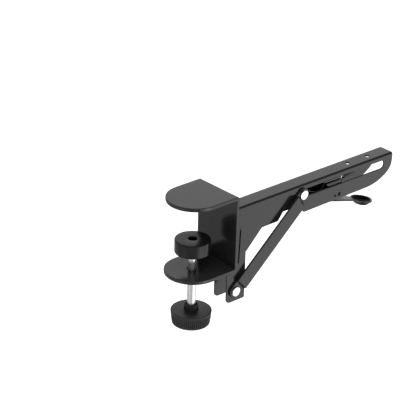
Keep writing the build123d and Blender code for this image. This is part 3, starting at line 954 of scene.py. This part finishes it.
def knob_rib(angle, radius, height):
    """Grooves between the ribs of the knob's side, fading out at both rims."""
    above, below = height - KNOB_BOTTOM - 0.7, KNOB_TOP - 1.5 - height
    if radius < 16.5 or above < 0 or below < 0:
        return 0.0
    fade = min(1.0, above / 1.2, below / 1.4)
    crest = 0.5 + 0.5 * math.cos(angle * KNOB_RIBS)
    return -0.85 * fade * (1 - crest) ** 1.2


def knob():
    """Ribbed knob on the screw's lower end, hollow below and bored from its neck."""
    profile = [
        (0, KNOB_BOTTOM), (7.5, KNOB_BOTTOM, 0.5), (7.5, KNOB_BOTTOM + 5.5, 0.6),
        (14.5, KNOB_BOTTOM + 5.5, 0.6), (14.5, KNOB_BOTTOM, 0.5), (KNOB_BOTTOM_R, KNOB_BOTTOM, 2.0)]
    profile += [(KNOB_BOTTOM_R + (KNOB_TOP_R - KNOB_BOTTOM_R) * k / 8.0,
                 KNOB_BOTTOM + (KNOB_TOP - KNOB_BOTTOM) * k / 8.0) for k in range(2, 8)]
    profile += [
        (KNOB_TOP_R, KNOB_TOP, 0.8), (6.7, KNOB_TOP, 0.5), (6.7, -105.0, 0.5), (5.5, -105.0, 0.2),
        (5.5, -108.0), (4.03, -108.0), (4.03, -109.0), (5.02, -109.0), (5.02, -120.02),
        (0, -120.02)]
    return lathe("knob_body", profile, SCREW_AXIS, "screw", KNOB_PLASTIC,
                 segments=KNOB_RIBS * 8, radial=knob_rib, sharp=50)


def rivet(name, place, base_y, shank_len, body):
    """Pan head towards -Y with a low crown on a rounded rim; the shank goes in from base_y."""
    head_r, head_h, shank_r = 4.8, 2.0, 3.0
    rim, crown = 0.55 * head_h, 0.34 * head_h
    crown_r = head_r - 0.45
    sphere = (crown_r * crown_r + crown * crown) / (2 * crown)
    sweep = math.asin(crown_r / sphere)
    peak = rim + crown + 0.11 * head_h
    profile = [(0.0, peak)]
    for angle in spaced(0.0, sweep, 8)[1:]:
        profile.append((sphere * math.sin(angle), peak - sphere + sphere * math.cos(angle)))
    profile += [
        (crown_r + 0.2, rim + 0.08 * head_h), (head_r - 0.09, rim), (head_r, rim - 0.25),
        (head_r, 0.3), (head_r - 0.12, 0.0), (shank_r, 0.0), (shank_r, -shank_len + 0.3),
        (shank_r - 0.3, -shank_len), (0.0, -shank_len)]
    return lathe(name, profile, (place[0], base_y, place[1]), body, RIVET_STEEL, axis="-y",
                 sharp=50)


def upper_rivet():
    return rivet("upper_rivet_body", UPPER_RIVET, UPPER_Y, 2.0, "strut")


def lower_rivet():
    return rivet("lower_rivet_body", LOWER_RIVET, LOWER_Y, 4.7, "clamp")


# ============================================================ lever spring
def lever_spring():
    """Coils round the lever pin beside the blade, with a short leg over the strip.

    The long leg stands up behind the slot."""
    pin_x, pin_z = LEVER_PIN
    coil_r, coil_y, coil_len = 2.75, -2.0, 3.6
    start, end = math.radians(290), math.radians(360 * 4)
    path = []
    for k in range(6):
        reach = 5.0 * (1 - k / 6)
        path.append((pin_x + coil_r * math.cos(start) + math.sin(start) * reach, coil_y,
                     pin_z + coil_r * math.sin(start) - math.cos(start) * reach))
    count = 120
    for k, angle in enumerate(spaced(start, end - start, count)):
        path.append((pin_x + coil_r * math.cos(angle), coil_y - coil_len * k / count,
                     pin_z + coil_r * math.sin(angle)))
    leg_x, leg_y = pin_x + coil_r, coil_y - coil_len
    for k in range(1, 17):
        path.append((leg_x + 2.2 * ease(k / 16), leg_y, pin_z + 7.0 * (k / 16)))
    for k in range(1, 9):
        path.append((leg_x + 2.2, leg_y, pin_z + 7.0 + 9.8 * k / 8))
    return wire("lever_spring_wire", path, 0.42, "arm", SPRING_STEEL)


# ============================================================ build
# (builder, CAD node it replaces, slot)
PIECES = [
    (clamp_frame, "clamp_frame", "powder_coat"),
    (leg_channel, "leg_channel", "powder_coat"),
    (leg_groove, "leg_channel", "powder_coat"),
    (arm_channel, "arm_channel", "powder_coat"),
    (strut, "strut", "powder_coat"),
    (release_lever, "release_lever", "powder_coat"),
    (pressure_pad, "pressure_pad", "black_plastic"),
    (clamp_screw, "clamp_screw", "bright_screw"),
    (knob, "knob", "black_plastic"),
    (upper_rivet, "upper_rivet", "bright_rivet"),
    (lower_rivet, "lower_rivet", "bright_rivet"),
    (lever_spring, "lever_spring", "spring_steel"),
]
for build, node_name, slot_name in PIECES:
    piece = build()
    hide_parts(node_name)

# CAD nodes that stay in view
FINISH = {
    # the pad retainer is near black as painted shade for the pad's bore
    "jaw_nut": ZINC, "lower_washer": ZINC, "slide_washer": ZINC, "pad_retainer": BLACK_STEEL_AND_BORE_SHADE,
    "hinge_pin": RIVET_STEEL, "slide_pin": ZINC, "slide_clip": BLACK_STEEL_AND_BORE_SHADE, "hinge_bush": ZINC,
    # the two pins are near black as painted shade for their recessed holes
    "lever_pin": PIN_RECESS_SHADE, "spring_pin": PIN_RECESS_SHADE, "knob_insert": BRASS,
}
for node_name, finish in FINISH.items():
    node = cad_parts[node_name]
    if not node.data.materials:
        node.data.materials.append(finish)
    for slot in node.material_slots:
        slot.link = "OBJECT"
        slot.material = finish

# ============================================================ floor, light, camera (metres)
scene = bpy.context.scene


def floor():
    """Disc of three rings that widen outwards."""
    centre_x, floor_z, radius, count = 0.05, -0.285, 6.0, 64
    verts = [(centre_x, 0.0, floor_z)]
    for k in (1, 2, 3):
        for i in range(count):
            angle = 2 * math.pi * i / count
            verts.append((centre_x + radius * (k / 3) ** 2 * math.cos(angle),
                          radius * (k / 3) ** 2 * math.sin(angle), floor_z))
    faces = []
    for i in range(count):
        j = (i + 1) % count
        faces.append((0, 1 + i, 1 + j))
        for k in range(2):
            inner, outer = 1 + k * count, 1 + (k + 1) * count
            faces.append((inner + i, outer + i, outer + j, inner + j))
    mesh = bpy.data.meshes.new("studio_floor")
    mesh.from_pydata(verts, [], faces)
    obj = bpy.data.objects.new("studio_floor", mesh)
    scene.collection.objects.link(obj)
    mesh.materials.append(floor_paper())
    obj.visible_glossy = False


# soft panels of light: (direction, full inside and gone outside these degrees, strength)
PANELS = [
    ((0.12, -0.895, -0.428), 12, 26, 0.8),
    ((0.565, -0.705, -0.428), 22, 40, 1.30),
    ((0.565, 0.705, 0.44), 22, 36, 0.80),
    ((-0.62, -0.70, -0.35), 34, 74, 0.47),
    ((-0.565, 0.705, -0.428), 30, 64, 0.47),
    ((0.75, 0.66, -0.3), 22, 46, 0.34),
    ((0.92, -0.15, -0.42), 12, 40, 0.30),
]
AMBIENT = 0.04


def studio_world():
    """Soft panels round a dark room; the camera itself sees plain white."""
    world = bpy.data.worlds.new("studio")
    scene.world = world
    world.use_nodes = True
    nodes, links = world.node_tree.nodes, world.node_tree.links
    background = nodes["Background"]
    direction = nodes.new("ShaderNodeTexCoord").outputs["Generated"]

    def panel_light(towards, inner, outer, strength):
        dot = nodes.new("ShaderNodeVectorMath")
        dot.operation = "DOT_PRODUCT"
        links.new(direction, dot.inputs[0])
        dot.inputs[1].default_value = Vector(towards).normalized()
        fade = nodes.new("ShaderNodeMapRange")
        fade.interpolation_type = "SMOOTHSTEP"
        links.new(dot.outputs["Value"], fade.inputs["Value"])
        fade.inputs["From Min"].default_value = math.cos(math.radians(outer))
        fade.inputs["From Max"].default_value = math.cos(math.radians(inner))
        fade.inputs["To Min"].default_value = 0.0
        fade.inputs["To Max"].default_value = strength
        return fade.outputs["Result"]

    def add_to(total):
        node = nodes.new("ShaderNodeMath")
        node.operation = "ADD"
        links.new(total, node.inputs[0])
        return node

    total = panel_light(*PANELS[0])
    for panel in PANELS[1:]:
        light = panel_light(*panel)
        node = add_to(total)
        links.new(light, node.inputs[1])
        total = node.outputs[0]
    node = add_to(total)
    node.inputs[1].default_value = AMBIENT

    light_path = nodes.new("ShaderNodeLightPath")
    mix = nodes.new("ShaderNodeMix")
    mix.data_type = "FLOAT"
    links.new(light_path.outputs["Is Camera Ray"], mix.inputs[0])
    links.new(node.outputs[0], mix.inputs[2])
    mix.inputs[3].default_value = 1.0
    links.new(mix.outputs[0], background.inputs["Strength"])
    background.inputs["Color"].default_value = (1, 1, 1, 1)


def soft_key():
    """Large disc light overhead, kept out of reflections."""
    place, target = Vector((-0.3, -0.5, 2.6)), Vector((0.08, 0.0, -0.1))
    light = bpy.data.lights.new("soft_key", "AREA")
    light.shape = "DISK"
    light.size = 2.4
    light.energy = 120.0
    obj = bpy.data.objects.new("soft_key", light)
    obj.location = place
    obj.rotation_mode = "QUATERNION"
    obj.rotation_quaternion = (target - place).to_track_quat("-Z", "Y")
    scene.collection.objects.link(obj)
    obj.visible_glossy = False


def camera():
    """Long lens from -X, -Y and above."""
    turn, rise = math.radians(38.68722), math.radians(25.358763)
    aim = Vector((99.558253, 0.0, -29.8674759))                      # mm
    distance, shift_right, shift_up = 1692.490301, -183.686509982, -7.564636175     # mm
    back = Vector((-math.sin(turn) * math.cos(rise), -math.cos(turn) * math.cos(rise),
                   math.sin(rise)))
    right = Vector((math.cos(turn), -math.sin(turn), 0.0))
    up = back.cross(right)
    data = bpy.data.cameras.new("camera")
    obj = bpy.data.objects.new("camera", data)
    scene.collection.objects.link(obj)
    matrix = Matrix((right, up, back)).transposed().to_4x4()
    matrix.translation = (aim + back * distance + right * shift_right + up * shift_up) * MM
    obj.matrix_world = matrix
    data.sensor_width = 36.0
    data.lens = 162.379962
    data.shift_x = 0.25
    data.shift_y = 0.0
    data.clip_start, data.clip_end = 0.05, 30.0
    scene.camera = obj


floor()
studio_world()
soft_key()
camera()
scene.view_settings.view_transform = "Standard"
